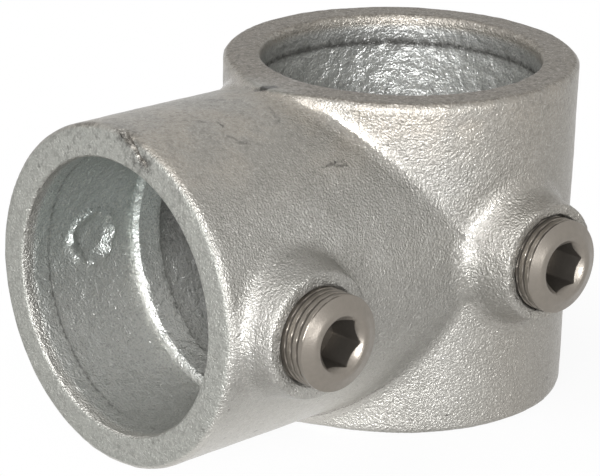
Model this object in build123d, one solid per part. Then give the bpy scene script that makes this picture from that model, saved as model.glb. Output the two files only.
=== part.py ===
from build123d import *
import math
import os

# Tube clamp tee: one galvanised malleable-iron casting and two socket set screws.
# It joins the end of one tube, at a right angle, to the side of a second tube that runs through it.
#
# Frame: the through sleeve is along Z, the socket for the tube end points along -Y, and both set
# screws come in from +X. The origin is the point where the two tube axes cross.

# ---- Driving dimensions, in millimetres and degrees ----

# The tube that both passages take.
tube_diameter = 48.3

# Through sleeve.
sleeve_clearance = 1.25  # radial, between the tube and the sleeve's lands
sleeve_wall = 6.1  # from a land to the outside, at half height
sleeve_draft = 1.1  # the sleeve is slightly slimmer at its lower end
sleeve_rim_rise = 0.85  # how far each rim stands beyond the socket's side
sleeve_land = 5.2  # width of the bearing land inside each rim
sleeve_relief = 0.7  # depth of the cored wall behind the lands
sleeve_outer_chamfer = 1.0
sleeve_inner_chamfer = 0.85

# Socket.
socket_clearance = 0.25  # radial, between the tube and the mouth's land
socket_wall = 5.85  # from the land to the outside, at the mouth
socket_draft = 0.64  # the socket is slightly slimmer towards the sleeve
socket_reach = 67.5  # from the sleeve's axis to the mouth
socket_land = 5.8  # width of the bearing land at the mouth
socket_relief = 0.6  # depth of the cored wall behind the land
mouth_outer_chamfer = 1.05
mouth_inner_chamfer = 0.35

# Ring inside the socket that the tube's end stops against.
tube_insertion = 24.8  # from the mouth to the ring
stop_width = 5.8
stop_overlap = 0.75  # how far the ring reaches inside the tube's outside radius
stop_chamfer = 1.1  # the front of the ring slopes, as a core leaves it

# Blends between the outside forms.
junction_blend = 4.0  # sleeve to socket
boss_blend = 4.5  # boss to sleeve and boss to socket

# Bosses that carry the set screws.
sleeve_boss_rim = 2.1  # width of the metal around each screw hole, at the boss's face
socket_boss_rim = 2.6
boss_draft = 14.0
boss_face_chamfer = 0.8
sleeve_boss_height = 6.7  # above the sleeve's side
socket_boss_height = 5.6  # above the socket's side
socket_screw_setback = 14.8  # from the mouth to the screw's axis
sleeve_screw_rise = 1.2  # the sleeve's screw stands a little above the socket's axis
hole_chamfer = 0.5

# Spot where the drill met the socket wall opposite the screw hole: a raised ring round a dimple.
spot_ring_radius = 5.3
spot_dimple_radius = 3.5
spot_ring_height = 0.4
spot_dimple_depth = 0.4
spot_drift = 1.2  # from the screw's axis towards the sleeve
spot_rise = 0.7  # above the screw's axis

# Set screws: 3/8 inch pipe thread, hexagon socket, cup point.
thread_diameter = 16.66
thread_clearance = 0.05  # radial, between the screw and its hole
screw_length = 14.0
sleeve_screw_gap = 3.9  # from the cup point to the tube, as delivered
socket_screw_gap = 3.1
key_width = 8.0  # across the flats of the hexagon
key_depth = 7.0
key_lead_in = 0.6  # how far the round lead-in reaches beyond the hexagon's corners
sleeve_key_angle = 9.0  # how far each screw happens to be turned
socket_key_angle = -11.5
outer_chamfer_radial = 1.5
outer_chamfer_axial = 0.9
point_chamfer = 1.0
cup_rim = 1.6  # width of the ring that bites into the tube
cup_depth = 2.0

# ---- Sizes that follow from them ----

tube_radius = tube_diameter / 2
sleeve_land_radius = tube_radius + sleeve_clearance
sleeve_core_radius = sleeve_land_radius + sleeve_relief
sleeve_side_radius = sleeve_land_radius + sleeve_wall

socket_slope = math.tan(math.radians(socket_draft))
socket_land_radius = tube_radius + socket_clearance
socket_core_radius = socket_land_radius + socket_relief
socket_mouth_radius = socket_land_radius + socket_wall
socket_root_radius = socket_mouth_radius - (socket_reach - sleeve_side_radius) * socket_slope
stop_radius = tube_radius - stop_overlap
stop_front = socket_reach - tube_insertion

rim_level = socket_root_radius + sleeve_rim_rise

screw_radius = thread_diameter / 2
hole_radius = screw_radius + thread_clearance
sleeve_boss_radius = hole_radius + sleeve_boss_rim
socket_boss_radius = hole_radius + socket_boss_rim
socket_screw_y = socket_screw_setback - socket_reach
socket_side_radius = socket_mouth_radius - socket_screw_setback * socket_slope
sleeve_boss_face = sleeve_side_radius + sleeve_boss_height
socket_boss_face = socket_side_radius + socket_boss_height

# Blanks run past the planes that trim them, so that the blends run out through the rims.
overrun = 2 * (junction_blend + boss_blend)
# Largest size of anything that trims the casting.
trim_size = 4 * socket_reach
flatness = 1e-3

# Planes that the round forms stand on; each local Z is the form's own axis.
socket_plane = Plane(origin=(0, 0, 0), x_dir=(1, 0, 0), z_dir=(0, -1, 0))
sleeve_screw_plane = Plane(origin=(0, 0, sleeve_screw_rise), x_dir=(0, 1, 0), z_dir=(1, 0, 0))
socket_screw_plane = Plane(origin=(0, socket_screw_y, 0), x_dir=(0, 1, 0), z_dir=(1, 0, 0))
spot_plane = Plane(origin=(0, socket_screw_y + spot_drift, spot_rise), x_dir=(0, 1, 0), z_dir=(-1, 0, 0))


def drafted_bar(start, end, radius, radius_level, draft):
    """Round bar along Z with a draft angle, widening upwards, with the given radius at one level.

    Its seam is turned to the back, away from the bosses.
    """
    slope = math.tan(math.radians(draft))
    start_radius = radius + (start - radius_level) * slope
    end_radius = radius + (end - radius_level) * slope
    return Pos(0, 0, (start + end) / 2) * Rot(0, 0, 180) * Cone(start_radius, end_radius, end - start)


def bar(start, end, radius):
    """Plain round bar along Z."""
    return Pos(0, 0, (start + end) / 2) * Cylinder(radius, end - start)


def turned(points):
    """Solid of revolution about Z of an outline given as (radius, height) points."""
    outline = make_face(Polyline([(radius, 0, height) for radius, height in points], close=True))
    return revolve(outline, Axis.Z, 360)


def edges_at(shape, direction, level):
    """Edges that lie wholly in the plane at a level along one of the main directions."""
    along = {"X": lambda p: p.X, "Y": lambda p: p.Y, "Z": lambda p: p.Z}[direction]

    def in_plane(edge):
        box = edge.bounding_box()
        return abs(along(box.min) - level) < flatness and abs(along(box.max) - level) < flatness

    return shape.edges().filter_by(in_plane)


def blend_edges(shape, lowest_x, highest_x):
    """Curved edges where one outside form runs into another, between two levels along X."""

    def is_joint(edge):
        box = edge.bounding_box()
        bent = edge.geom_type not in (GeomType.LINE, GeomType.CIRCLE)
        return bent and box.min.X > lowest_x and box.max.X < highest_x

    return shape.edges().filter_by(is_joint)


def boss_blank(plane, face, face_radius):
    """Drafted boss for one set screw, from inside the wall out to its flat face."""
    start = sleeve_land_radius
    root_radius = face_radius + (face - start) * math.tan(math.radians(boss_draft))
    return plane * Pos(0, 0, (start + face) / 2) * Cone(root_radius, face_radius, face - start)


def outer_form():
    """Solid outside of the casting: sleeve, socket and bosses, blended, then trimmed at the rims."""
    sleeve_top = rim_level + overrun
    sleeve = drafted_bar(-sleeve_top, sleeve_top, sleeve_side_radius, 0, sleeve_draft)
    socket = socket_plane * drafted_bar(
        0, socket_reach + overrun, socket_mouth_radius, socket_reach, socket_draft
    )
    body = sleeve + socket
    body = fillet(blend_edges(body, -sleeve_top, sleeve_top), junction_blend)
    body += boss_blank(sleeve_screw_plane, sleeve_boss_face, sleeve_boss_radius)
    body += boss_blank(socket_screw_plane, socket_boss_face, socket_boss_radius)
    body = fillet(blend_edges(body, sleeve_land_radius, socket_boss_face - flatness), boss_blend)
    keep = Box(trim_size, trim_size, 2 * rim_level) & Pos(0, trim_size / 2 - socket_reach, 0) * Box(
        trim_size, trim_size, trim_size
    )
    return body & keep


def sleeve_core():
    """Hollow of the through sleeve: a bearing land inside each rim and a cored wall between."""
    land_level = rim_level - sleeve_land
    return turned(
        [
            (0, -rim_level),
            (sleeve_land_radius + sleeve_inner_chamfer, -rim_level),
            (sleeve_land_radius, sleeve_inner_chamfer - rim_level),
            (sleeve_land_radius, -land_level),
            (sleeve_core_radius, -land_level),
            (sleeve_core_radius, land_level),
            (sleeve_land_radius, land_level),
            (sleeve_land_radius, rim_level - sleeve_inner_chamfer),
            (sleeve_land_radius + sleeve_inner_chamfer, rim_level),
            (0, rim_level),
        ]
    )


def socket_core():
    """Hollow of the socket, from the sleeve's axis to the mouth, necked by the stop ring."""
    stop_back = stop_front - stop_width
    land_level = socket_reach - socket_land
    return socket_plane * turned(
        [
            (0, 0),
            (socket_core_radius, 0),
            (socket_core_radius, stop_back),
            (stop_radius, stop_back),
            (stop_radius, stop_front - stop_chamfer),
            (stop_radius + stop_chamfer, stop_front),
            (socket_core_radius, stop_front),
            (socket_core_radius, land_level),
            (socket_land_radius, land_level),
            (socket_land_radius, socket_reach - mouth_inner_chamfer),
            (socket_land_radius + mouth_inner_chamfer, socket_reach),
            (0, socket_reach),
        ]
    )


def drill_spot():
    """Raised ring that the drill left on the socket's far wall, following the wall's curve."""
    wall = socket_plane * bar(0, socket_reach, socket_core_radius + flatness)
    inside = socket_plane * bar(0, socket_reach, socket_core_radius - spot_ring_height)
    ring = bar(0, socket_mouth_radius, spot_ring_radius) - bar(0, socket_mouth_radius, spot_dimple_radius)
    return (wall - inside) & spot_plane * ring


def drill_dimple():
    """Shallow dimple within the drill's ring, cut to an even depth below the socket's wall."""
    deep = socket_plane * bar(0, socket_reach, socket_core_radius + spot_dimple_depth)
    return deep & spot_plane * bar(0, socket_mouth_radius, spot_dimple_radius)


def screw_hole(plane, face):
    """Hole for one set screw through the wall and its boss, with a chamfered outer edge."""
    return plane * turned(
        [
            (0, 0),
            (hole_radius, 0),
            (hole_radius, face - hole_chamfer),
            (hole_radius + hole_chamfer, face),
            (0, face),
        ]
    )


def tee_casting():
    """The whole casting: outside with bevelled rims, less its two hollows and two screw holes."""
    casting = outer_form()
    casting = chamfer(edges_at(casting, "Z", rim_level), sleeve_outer_chamfer)
    casting = chamfer(edges_at(casting, "Z", -rim_level), sleeve_outer_chamfer)
    casting = chamfer(edges_at(casting, "Y", -socket_reach), mouth_outer_chamfer)
    casting = chamfer(edges_at(casting, "X", sleeve_boss_face), boss_face_chamfer)
    casting = chamfer(edges_at(casting, "X", socket_boss_face), boss_face_chamfer)

    casting -= socket_core()
    casting -= sleeve_core()
    casting += drill_spot()
    casting -= drill_dimple()
    casting -= screw_hole(sleeve_screw_plane, sleeve_boss_face)
    casting -= screw_hole(socket_screw_plane, socket_boss_face)
    return casting


def set_screw(plane, gap, key_angle):
    """Set screw with its cup point towards the tube: crest-diameter body, hexagon socket outside."""
    point = tube_radius + gap
    end = point + screw_length
    cup_radius = screw_radius - point_chamfer - cup_rim
    body = turned(
        [
            (0, point + cup_depth),
            (cup_radius, point),
            (screw_radius - point_chamfer, point),
            (screw_radius, point + point_chamfer),
            (screw_radius, end - outer_chamfer_axial),
            (screw_radius - outer_chamfer_radial, end),
            (0, end),
        ]
    )
    hexagon = RegularPolygon(key_width / 2, 6, major_radius=False, rotation=key_angle)
    body -= Pos(0, 0, end - key_depth) * extrude(hexagon, key_depth)
    lead_in_radius = key_width / math.sqrt(3) + key_lead_in
    body -= turned([(0, end - lead_in_radius), (lead_in_radius, end), (0, end)])
    return plane * body


def main():
    """Build every piece and write one STEP file for each."""
    pieces = {
        "tee_casting": tee_casting(),
        "sleeve_set_screw": set_screw(sleeve_screw_plane, sleeve_screw_gap, sleeve_key_angle),
        "socket_set_screw": set_screw(socket_screw_plane, socket_screw_gap, socket_key_angle),
    }
    os.makedirs("parts", exist_ok=True)
    for name, piece in pieces.items():
        export_step(piece, f"parts/{name}.step")


if __name__ == "__main__":
    main()
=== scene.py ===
"""Looks of a galvanised tube clamp tee: the casting's skin, its two set screws and a pale studio.

Lengths in the classes are millimetres, and angles degrees, unless a name or comment says otherwise; meshes
are handed to Blender in metres. The casting's frame has its sleeve along Z, its socket along -Y and its
screws along +X.
"""

import logging
import math
from dataclasses import dataclass
from enum import IntEnum
from typing import Any, Callable, Sequence, Union

import bpy
import numpy as np
from mathutils import Matrix, Vector

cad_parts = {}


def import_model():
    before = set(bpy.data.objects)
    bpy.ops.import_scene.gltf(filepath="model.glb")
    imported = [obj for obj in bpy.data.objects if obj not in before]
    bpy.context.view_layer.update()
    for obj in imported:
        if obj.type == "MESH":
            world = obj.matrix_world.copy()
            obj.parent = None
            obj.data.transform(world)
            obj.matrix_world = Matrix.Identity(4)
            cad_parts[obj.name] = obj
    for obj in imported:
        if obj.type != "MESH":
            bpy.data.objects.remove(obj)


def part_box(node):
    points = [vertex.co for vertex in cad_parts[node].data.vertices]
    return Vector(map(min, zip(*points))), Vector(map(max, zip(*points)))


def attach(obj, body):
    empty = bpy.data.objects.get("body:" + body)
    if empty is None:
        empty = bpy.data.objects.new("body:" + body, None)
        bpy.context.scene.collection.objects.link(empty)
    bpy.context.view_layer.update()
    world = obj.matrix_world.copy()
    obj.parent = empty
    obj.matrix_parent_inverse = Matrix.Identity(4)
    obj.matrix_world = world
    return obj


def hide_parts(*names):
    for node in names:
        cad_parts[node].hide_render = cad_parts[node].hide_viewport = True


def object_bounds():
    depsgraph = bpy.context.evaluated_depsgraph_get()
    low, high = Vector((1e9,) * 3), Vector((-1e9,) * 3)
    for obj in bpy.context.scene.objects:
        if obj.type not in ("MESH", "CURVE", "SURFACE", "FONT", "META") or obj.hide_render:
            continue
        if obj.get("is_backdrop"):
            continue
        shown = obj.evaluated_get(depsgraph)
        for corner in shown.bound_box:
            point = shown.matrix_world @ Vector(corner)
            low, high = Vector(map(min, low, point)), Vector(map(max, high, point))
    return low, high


log = logging.getLogger("tube_clamp")

MM = 0.001
TINY = 1e-12
Field = np.ndarray
Shape = Callable[[Field], Field]
Colour = tuple[float, float, float]
Place = tuple[float, float, float]
Span = tuple[float, float]
Term = Union["Value", int, float]


# ---------------------------------------------------------------- shader graphs


class Value:
    """One output socket of a node. Arithmetic on a number's socket adds Math nodes to its graph."""

    def __init__(self, graph: "Graph", socket: bpy.types.NodeSocket) -> None:
        """Wrap an output socket of a graph's node."""
        self.graph = graph
        self.socket = socket

    def _math(self, operation: str, *values: Term, clamp: bool = False) -> "Value":
        """Add one Math node, with its inputs in order and its result held between 0 and 1 if clamped."""
        settings = {"operation": operation, "use_clamp": clamp}
        return self.graph.node("ShaderNodeMath", settings, dict(enumerate(values)))

    def __add__(self, other: Term) -> "Value":
        """Sum."""
        return self._math("ADD", self, other)

    __radd__ = __add__

    def __sub__(self, other: Term) -> "Value":
        """Difference."""
        return self._math("SUBTRACT", self, other)

    def __rsub__(self, other: Term) -> "Value":
        """Difference from a number."""
        return self._math("SUBTRACT", other, self)

    def __mul__(self, other: Term) -> "Value":
        """Product."""
        return self._math("MULTIPLY", self, other)

    __rmul__ = __mul__

    def root(self) -> "Value":
        """Square root."""
        return self._math("SQRT", self)

    def clamped(self) -> "Value":
        """The value held between 0 and 1."""
        return self._math("ADD", self, 0.0, clamp=True)

    def between(self, none: float, full: float) -> "Value":
        """None where the value is 0, full where it is 1, and in a straight line between them."""
        return self * (full - none) + none

    def step(self, low: float, high: float) -> "Value":
        """Smooth step: 0 below low, 1 above high.

        Args:
            low: the value that gives 0.
            high: the value that gives 1; lower than low turns the step round.

        Returns:
            The stepped value.
        """
        flipped = high < low
        start, end = (high, low) if flipped else (low, high)
        to_low, to_high = (1.0, 0.0) if flipped else (0.0, 1.0)
        inputs = {0: self, 1: start, 2: end, 3: to_low, 4: to_high}
        return self.graph.node("ShaderNodeMapRange", {"interpolation_type": "SMOOTHSTEP"}, inputs)


class Graph:
    """The node tree of one material or world."""

    def __init__(self, owner: Union[bpy.types.Material, bpy.types.World]) -> None:
        """Start with an empty tree.

        Args:
            owner: the material or world whose tree it is.
        """
        owner.use_nodes = True
        self.tree = owner.node_tree
        self.tree.nodes.clear()

    def node(
        self,
        kind: str,
        settings: dict[str, Any],
        inputs: dict[Union[str, int], Any],
        output: Union[str, int] = 0,
    ) -> Value:
        """Add a node.

        Args:
            kind: the node's type name.
            settings: properties that are set first.
            inputs: values or links of its sockets, by name or number.
            output: which of its outputs is returned.

        Returns:
            That output.
        """
        made = self.tree.nodes.new(kind)
        for name, setting in settings.items():
            setattr(made, name, setting)
        for name, value in inputs.items():
            if isinstance(value, Value):
                self.tree.links.new(value.socket, made.inputs[name])
            else:
                made.inputs[name].default_value = value
        return Value(self, made.outputs[output])

    def ramp(self, factor: Value, stops: Sequence[tuple[float, Colour]]) -> Value:
        """Colour ramp.

        Args:
            factor: the value that runs along the ramp.
            stops: positions and colours, in order.

        Returns:
            The colour.
        """
        result = self.node("ShaderNodeValToRGB", {}, {0: factor})
        elements = result.socket.node.color_ramp.elements
        while len(elements) < len(stops):
            elements.new(0.5)
        for element, (position, colour) in zip(elements, stops):
            element.position = position
            element.color = (*colour, 1.0)
        return result

    def blend(self, factor: Term, first: Any, second: Any) -> Value:
        """Mix two colours.

        Args:
            factor: how much of the second.
            first: a colour or a link.
            second: a colour or a link.

        Returns:
            The mixed colour.
        """
        inputs = {0: factor, 6: self._rgba(first), 7: self._rgba(second)}
        return self.node("ShaderNodeMix", {"data_type": "RGBA"}, inputs, output=2)

    @staticmethod
    def _rgba(colour: Any) -> Any:
        """A colour with its alpha, or the link unchanged."""
        return colour if isinstance(colour, Value) else (*colour, 1.0)

    def place(self) -> Value:
        """Position on the piece, in metres."""
        return self.node("ShaderNodeTexCoord", {}, {}, output="Object")

    def part(self, vector: Value, axis: str) -> Value:
        """One coordinate of a vector."""
        return self.node("ShaderNodeSeparateXYZ", {}, {0: vector}, output=axis)

    def vector(self, operation: str, *values: Any, output: str = "Vector") -> Value:
        """Add one Vector Math node."""
        return self.node("ShaderNodeVectorMath", {"operation": operation}, dict(enumerate(values)), output)

    def scaled(self, vector: Any, factor: Term) -> Value:
        """A vector times a number."""
        return self.node("ShaderNodeVectorMath", {"operation": "SCALE"}, {0: vector, 3: factor})

    def length(self, vector: Value) -> Value:
        """Length of a vector."""
        return self.vector("LENGTH", vector, output="Value")

    def stroke(self, place: Value, start: Place, end: Place) -> Value:
        """Distance to a straight stroke.

        It is the length of the offset from the stroke's start, less the run times its clamped share.

        Args:
            place: where it is read, in metres.
            start: one end of the stroke, in millimetres.
            end: its other end.

        Returns:
            The distance in metres.
        """
        run = (Vector(end) - Vector(start)) * MM
        offset = self.vector("SUBTRACT", place, tuple(Vector(start) * MM))
        along = self.vector("DOT_PRODUCT", offset, tuple(run), output="Value")
        nearest = self.scaled(tuple(run), (along * (1 / run.length_squared)).clamped())
        return self.length(self.vector("SUBTRACT", offset, nearest))

    def circle(self, place: Value, axis: Place, centre: Place, radius: float) -> Value:
        """Distance to a circle.

        It is the hypotenuse of the offset along the circle's axis and the offset from its radius.

        Args:
            place: where it is read, in metres.
            axis: unit vector along the circle's axis.
            centre: its centre, in millimetres.
            radius: its radius, in millimetres.

        Returns:
            The distance in metres.
        """
        offset = self.vector("SUBTRACT", place, tuple(Vector(centre) * MM))
        along = self.vector("DOT_PRODUCT", offset, axis, output="Value")
        away = self.length(self.vector("SUBTRACT", offset, self.scaled(axis, along))) - radius * MM
        return (along * along + away * away).root()

    def attribute(self, name: str) -> Value:
        """A number stored on the mesh's points."""
        settings = {"attribute_type": "GEOMETRY", "attribute_name": name}
        return self.node("ShaderNodeAttribute", settings, {}, output="Fac")

    def noise(self, place: Value, size: float, detail: float, rough: float, warp: float = 0.0) -> Value:
        """Cloudy noise.

        Args:
            place: where it is read.
            size: width of its main lumps in metres.
            detail: octaves.
            rough: how strong the finer octaves are.
            warp: distortion.

        Returns:
            A value about 0.5.
        """
        inputs = {"Vector": place, "Scale": 1 / size, "Detail": detail}
        inputs |= {"Roughness": rough, "Distortion": warp}
        return self.node("ShaderNodeTexNoise", {"noise_dimensions": "3D"}, inputs)

    def wobble(self, place: Value, size: float, amount: float) -> Value:
        """A place shifted by noise, so that what is drawn by it gets a ragged edge.

        Args:
            place: the place, in metres.
            size: width of the noise's lumps in metres.
            amount: the farthest shift along an axis, in metres.

        Returns:
            The shifted place.
        """
        inputs = {"Vector": place, "Scale": 1 / size, "Detail": 2.0}
        noise = self.node("ShaderNodeTexNoise", {"noise_dimensions": "3D"}, inputs, output="Color")
        shift = self.vector("SUBTRACT", noise, (0.5, 0.5, 0.5))
        return self.vector("ADD", place, self.scaled(shift, 2 * amount))

    def cells(self, place: Value, size: float) -> Value:
        """Distance to the nearest of many scattered points, as a share of their spacing in metres."""
        return self.node("ShaderNodeTexVoronoi", {}, {"Vector": place, "Scale": 1 / size}, output="Distance")

    def bump(self, height: Value, depth: float, under: Value | None = None) -> Value:
        """Bump.

        Args:
            height: 0 to 1.
            depth: how far a height of 1 stands up, in metres.
            under: a bump that this one is laid on.

        Returns:
            The normal.
        """
        inputs: dict[Union[str, int], Any] = {"Height": height, "Distance": depth, "Strength": 1.0}
        if under is not None:
            inputs["Normal"] = under
        return self.node("ShaderNodeBump", {}, inputs)

    def principled(self, inputs: dict[str, Any]) -> Value:
        """Principled shader with the given sockets."""
        return self.node("ShaderNodeBsdfPrincipled", {}, inputs)

    def finish(self, shader: Value, world: bool = False) -> None:
        """Join a shader to the output of the material, or of the world."""
        made = self.tree.nodes.new("ShaderNodeOutputWorld" if world else "ShaderNodeOutputMaterial")
        self.tree.links.new(shader.socket, made.inputs["Surface"])


# ---------------------------------------------------------------- shapes as fields


def hypot(one: Field, two: Field) -> Field:
    """Length of two components, kept off zero."""
    return np.sqrt(one**2 + two**2 + TINY)


def smooth(values: Field, low: float, high: float) -> Field:
    """Smooth step from 0 at low to 1 at high, which may be the lower of the two."""
    t = np.clip((values - low) / (high - low), 0, 1)
    return t * t * (3 - 2 * t)


def fillet(first: Field, second: Field, lean: Field, radius: Field | float) -> Field:
    """Join two solids with a rolling-ball fillet.

    Where both distances are under the radius and the point lies between the two tangent lines, the result
    is the radius less the distance to the ball's centre, measured in the slanted frame of the two surface
    normals; elsewhere it is the smaller distance.

    Args:
        first: signed distance to the first surface, negative inside.
        second: the same for the second.
        lean: cosine of the angle between the two outward normals.
        radius: the ball's radius.

    Returns:
        Signed distance to the joined surface.
    """
    lean = np.clip(lean, -0.98, 0.98)
    one, two = radius - first, radius - second
    between = (one > two * lean) & (two > one * lean) & (one > 0) & (two > 0)
    centre = np.sqrt(np.maximum(one**2 + two**2 - 2 * one * two * lean, 0) / (1 - lean**2))
    return np.where(between, radius - centre, np.minimum(first, second))


def rounded(first: Field, second: Field, lean: Field | float, radius: Field | float) -> Field:
    """Common part of two solids with its outer edge rounded; the fillet of what lies outside them."""
    return -fillet(-first, -second, np.asarray(lean, float), radius)


def waves(points: Field, size: float, seed: int, count: int = 28) -> Field:
    """Soft lumps: the sum of sine waves in random directions whose lengths lie about one size.

    Args:
        points: 3 rows of coordinates.
        size: middle wavelength.
        seed: seed of the directions and phases.
        count: how many waves.

    Returns:
        Heights of about -1 to 1.
    """
    draw = np.random.default_rng(seed)
    turns = draw.normal(size=(count, 3))
    turns /= np.linalg.norm(turns, axis=1)[:, None]
    turns *= (2 * np.pi / size) * draw.uniform(0.7, 1.4, (count, 1))
    phases = draw.uniform(0, 2 * np.pi, count)
    total = np.zeros(points.shape[1])
    for turn, phase in zip(turns, phases):
        total += np.sin(turn @ points + phase)
    return total / math.sqrt(2 * count)


def along_path(points: Field, path: Sequence[Place]) -> Field:
    """Distance from each point to a chain of straight runs: the least of the distances to each run.

    Args:
        points: 3 rows of coordinates.
        path: the chain's corners in order.

    Returns:
        The distances.
    """
    nearest = np.full(points.shape[1], np.inf)
    for start, end in zip(path[:-1], path[1:]):
        base, run = np.array(start)[:, None], (np.array(end) - np.array(start))[:, None]
        share = np.clip(((points - base) * run).sum(0) / (run**2).sum(), 0, 1)
        nearest = np.minimum(nearest, np.linalg.norm(points - base - share * run, axis=0))
    return nearest


@dataclass
class Wrapper:
    """Wraps the zero level of a field in a closed mesh of quads, one point to a cell of a cubic grid.

    Each cell that the surface passes through gets the point that fits the surface's tangent planes at the
    cell's crossed edges best, so that creases stay sharp. Each crossed edge joins its four cells by a quad.

    Attributes:
        low: lower corner of the grid.
        high: upper corner of the grid.
        cell: width of a cell.
        halvings: how often a crossed edge is halved.
        probe: half the step of the central differences.
        hold: how strongly a cell's point is pulled to the middle of its crossings.
        reach: how far it may lie from that middle, in cells.
    """

    low: Place
    high: Place
    cell: float
    halvings: int = 10
    probe: float = 0.01
    hold: float = 0.06
    reach: float = 0.75

    def slope(self, shape: Shape, points: Field) -> Field:
        """Unit gradient of a field, by central differences.

        Args:
            shape: the field.
            points: 3 rows of coordinates.

        Returns:
            3 rows of unit normals.
        """
        rows = []
        for axis in range(3):
            shift = np.zeros((3, 1))
            shift[axis] = self.probe
            rows.append(shape(points + shift) - shape(points - shift))
        gradient = np.stack(rows)
        return gradient / (np.linalg.norm(gradient, axis=0) + TINY)

    def crossing(self, shape: Shape, start: Field, axis: int, starts_in: Field) -> Field:
        """Where grid edges cross the surface, found by halving each edge again and again.

        Args:
            shape: the field.
            start: 3 rows of the edges' lower ends.
            axis: the axis along which the edges run.
            starts_in: whether each lower end lies inside.

        Returns:
            3 rows of crossing points.
        """
        low, high = np.zeros(start.shape[1]), np.ones(start.shape[1])
        points = start.copy()
        for _ in range(self.halvings):
            middle = (low + high) / 2
            points[axis] = start[axis] + middle * self.cell
            still = (shape(points) < 0) == starts_in
            low, high = np.where(still, middle, low), np.where(still, high, middle)
        points[axis] = start[axis] + (low + high) / 2 * self.cell
        return points

    def wrap(self, shape: Shape) -> tuple[Field, Field]:
        """Wrap a field.

        Args:
            shape: takes 3 rows of coordinates and gives signed distances, negative inside.

        Returns:
            The points, 3 rows, and the quads, 4 columns of point numbers, facing outwards.
        """
        lines = [np.arange(low, high + self.cell, self.cell) for low, high in zip(self.low, self.high)]
        size = tuple(len(line) for line in lines)
        grid = np.stack([part.ravel() for part in np.meshgrid(*lines, indexing="ij")])
        inside = (shape(grid) < 0).reshape(size)
        grid = grid.reshape(3, *size)
        strides = np.array([size[1] * size[2], size[2], 1])
        owners, spots, normals, quads = [], [], [], []
        for axis in range(3):
            count = size[axis] - 1
            starts_in = inside.take(range(count), axis)
            crossed = np.argwhere(starts_in != inside.take(range(1, count + 1), axis))
            starts_in = inside[tuple(crossed.T)]
            start = grid[(slice(None), *crossed.T)].copy()
            points = self.crossing(shape, start, axis, starts_in)
            facing = self.slope(shape, points)
            home = crossed @ strides
            second, third = strides[(axis + 1) % 3], strides[(axis + 2) % 3]
            ring = np.stack([home, home - second, home - second - third, home - third], axis=1)
            quads.append(np.where(starts_in[:, None], ring, ring[:, ::-1]))
            for corner in range(4):
                owners.append(ring[:, corner])
                spots.append(points)
                normals.append(facing)
        owner, quad = np.concatenate(owners), np.concatenate(quads)
        spot, normal = np.concatenate(spots, axis=1), np.concatenate(normals, axis=1)
        cells, owner = np.unique(owner, return_inverse=True)
        points = self.settle(owner, spot, normal, len(cells))
        return points, np.searchsorted(cells, quad)

    def settle(self, owner: Field, spot: Field, normal: Field, count: int) -> Field:
        """Best point of each cell: the least squares meeting point of its tangent planes.

        A small pull keeps it near the middle of the cell's crossings.

        Args:
            owner: the cell of each crossing.
            spot: 3 rows of crossing points.
            normal: 3 rows of their normals.
            count: how many cells there are.

        Returns:
            3 rows, one point for each cell.
        """
        number = np.bincount(owner, minlength=count)
        middle = np.stack([np.bincount(owner, row, count) for row in spot]) / number
        offset = (normal * (spot - middle[:, owner])).sum(0)
        system = np.zeros((count, 3, 3))
        target = np.zeros((count, 3))
        for row in range(3):
            target[:, row] = np.bincount(owner, normal[row] * offset, count)
            for column in range(3):
                system[:, row, column] = np.bincount(owner, normal[row] * normal[column], count)
        system += self.hold * np.eye(3)
        move = np.linalg.solve(system, target[:, :, None])[:, :, 0].T
        length = np.linalg.norm(move, axis=0) + TINY
        return middle + move * np.minimum(1, self.reach * self.cell / length)


def make_piece(name: str, points: Field, faces: Sequence[Field], sharp: float) -> bpy.types.Object:
    """Put points and faces into a smooth-shaded mesh object at the origin.

    Args:
        name: the piece's name.
        points: 3 rows of coordinates.
        faces: arrays of faces, each with its own number of corners.
        sharp: edges that turn by more than this angle stay crisp.

    Returns:
        The object.
    """
    mesh = bpy.data.meshes.new(name)
    corners = np.concatenate([part.ravel() for part in faces]).astype(np.int32)
    sizes = np.concatenate([np.full(len(part), part.shape[1], np.int32) for part in faces])
    mesh.vertices.add(points.shape[1])
    mesh.vertices.foreach_set("co", (points.T * MM).astype(np.float32).ravel())
    mesh.loops.add(len(corners))
    mesh.loops.foreach_set("vertex_index", corners)
    mesh.polygons.add(len(sizes))
    mesh.polygons.foreach_set("loop_start", np.concatenate([[0], np.cumsum(sizes)[:-1]]).astype(np.int32))
    mesh.polygons.foreach_set("loop_total", sizes)
    mesh.update(calc_edges=True)
    mesh.validate()
    mesh.shade_smooth()
    mesh.set_sharp_from_angle(angle=math.radians(sharp))
    piece = bpy.data.objects.new(name, mesh)
    bpy.context.scene.collection.objects.link(piece)
    return piece


def store(piece: bpy.types.Object, name: str, values: Field) -> None:
    """Store one number for each point of a piece's mesh, for its material."""
    layer = piece.data.attributes.new(name, "FLOAT", "POINT")
    layer.data.foreach_set("value", values.astype(np.float32))


# ---------------------------------------------------------------- the casting


@dataclass(frozen=True)
class Lumps:
    """One layer of the cast surface's relief: its height, the width of its lumps and their seed."""

    height: float
    size: float
    seed: int

    def at(self, points: Field) -> Field:
        """Heights at points."""
        return self.height * waves(points, self.size, self.seed)


@dataclass(frozen=True)
class ShadeRing:
    """Painted shade along a corner of the casting that runs in a circle: a dark ring under a ledge or in a
    gap.
    """

    axis: Place
    centre: Place
    radius: float
    width: float
    darkness: float
    uneven: bool = False
    core: float = 0.4

    def share(self, graph: Graph, place: Value, patchy: Value) -> Value:
        """How dark it is: full in its core, none beyond its width, and in patches where it is uneven.

        Args:
            graph: the material's nodes.
            place: where it is read, in metres.
            patchy: share that is left of an uneven ring.

        Returns:
            The darkness.
        """
        away = graph.circle(place, self.axis, self.centre, self.radius)
        near = away.step(self.width * MM, self.width * MM * self.core) * self.darkness
        return near * patchy if self.uneven else near


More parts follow.
